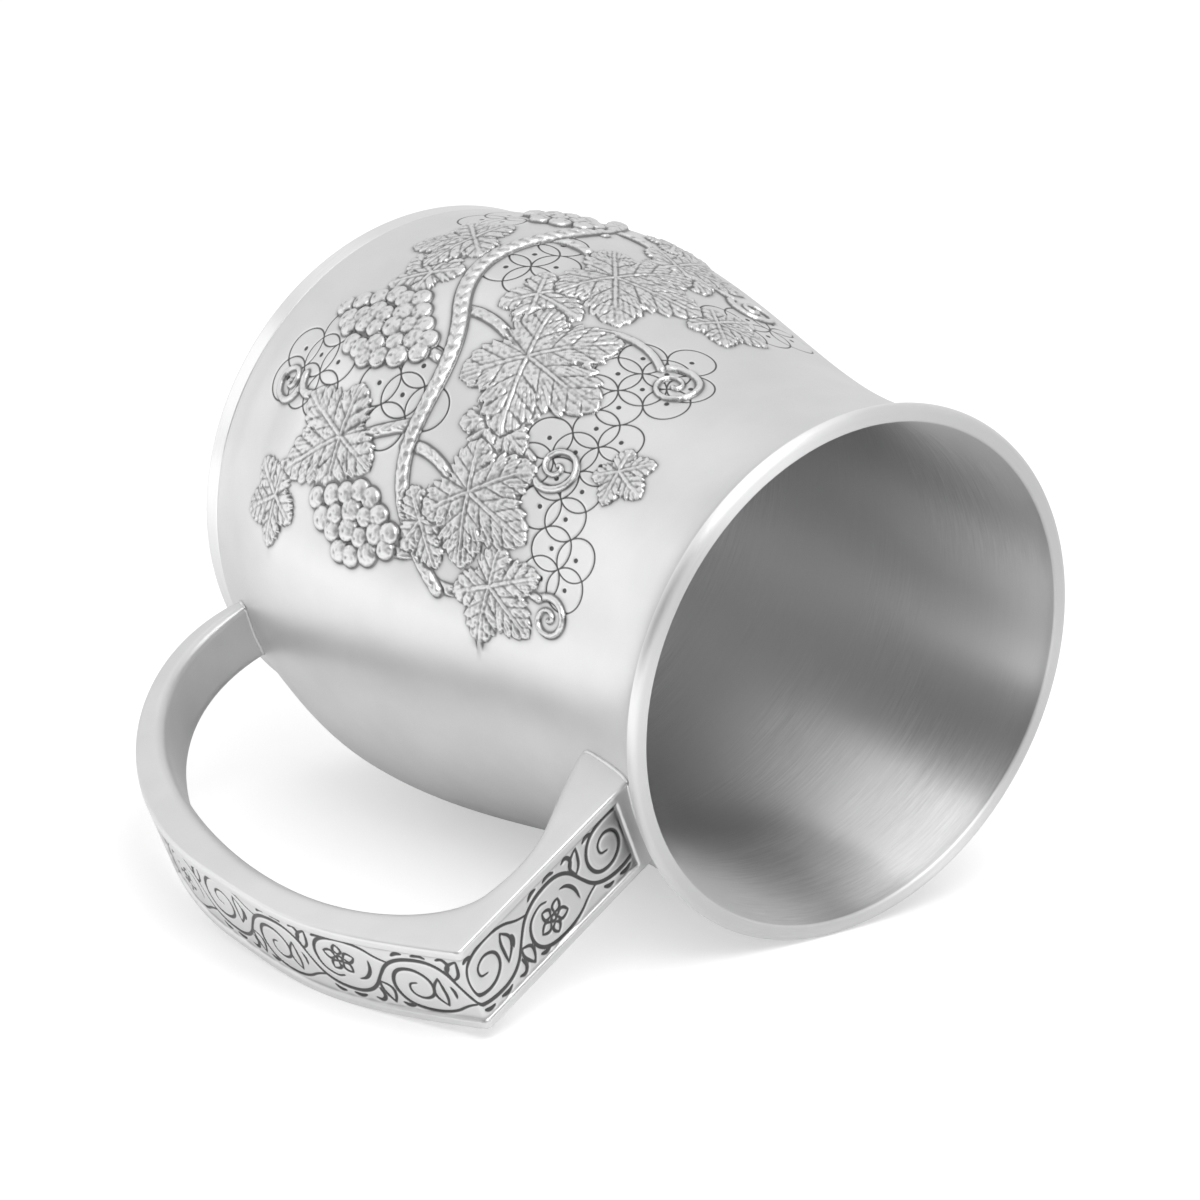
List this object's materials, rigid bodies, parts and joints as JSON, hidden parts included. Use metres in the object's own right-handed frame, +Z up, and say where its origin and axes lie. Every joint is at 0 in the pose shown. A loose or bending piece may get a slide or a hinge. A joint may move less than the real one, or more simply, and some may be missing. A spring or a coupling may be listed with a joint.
{
  "type": "tankard",
  "caption": "Bellied pewter tankard with a rolled lip, a soldered-in base and a handle with a thumb corner; it holds a drink and stands on a flat ring.",
  "frame": {"origin": "centre of the ring that the tankard stands on, on the axis of the body", "axes": "+Z up the axis of the body to the mouth, +X out through the middle of the handle, +Y to the plain flank"},
  "size_m": [0.1297, 0.0914, 0.1088],
  "materials": {
    "cast_pewter": "satin cast pewter, softly brushed",
    "turned_pewter": "turned pewter with fine circular marks",
    "solder": "bright dressed solder"
  },
  "bodies": {
    "root": {"body": "cast_pewter", "base_plate": "turned_pewter", "base_solder": "solder", "handle": "cast_pewter", "upper_solder": "solder", "lower_solder": "solder"}
  },
  "joints": []
}
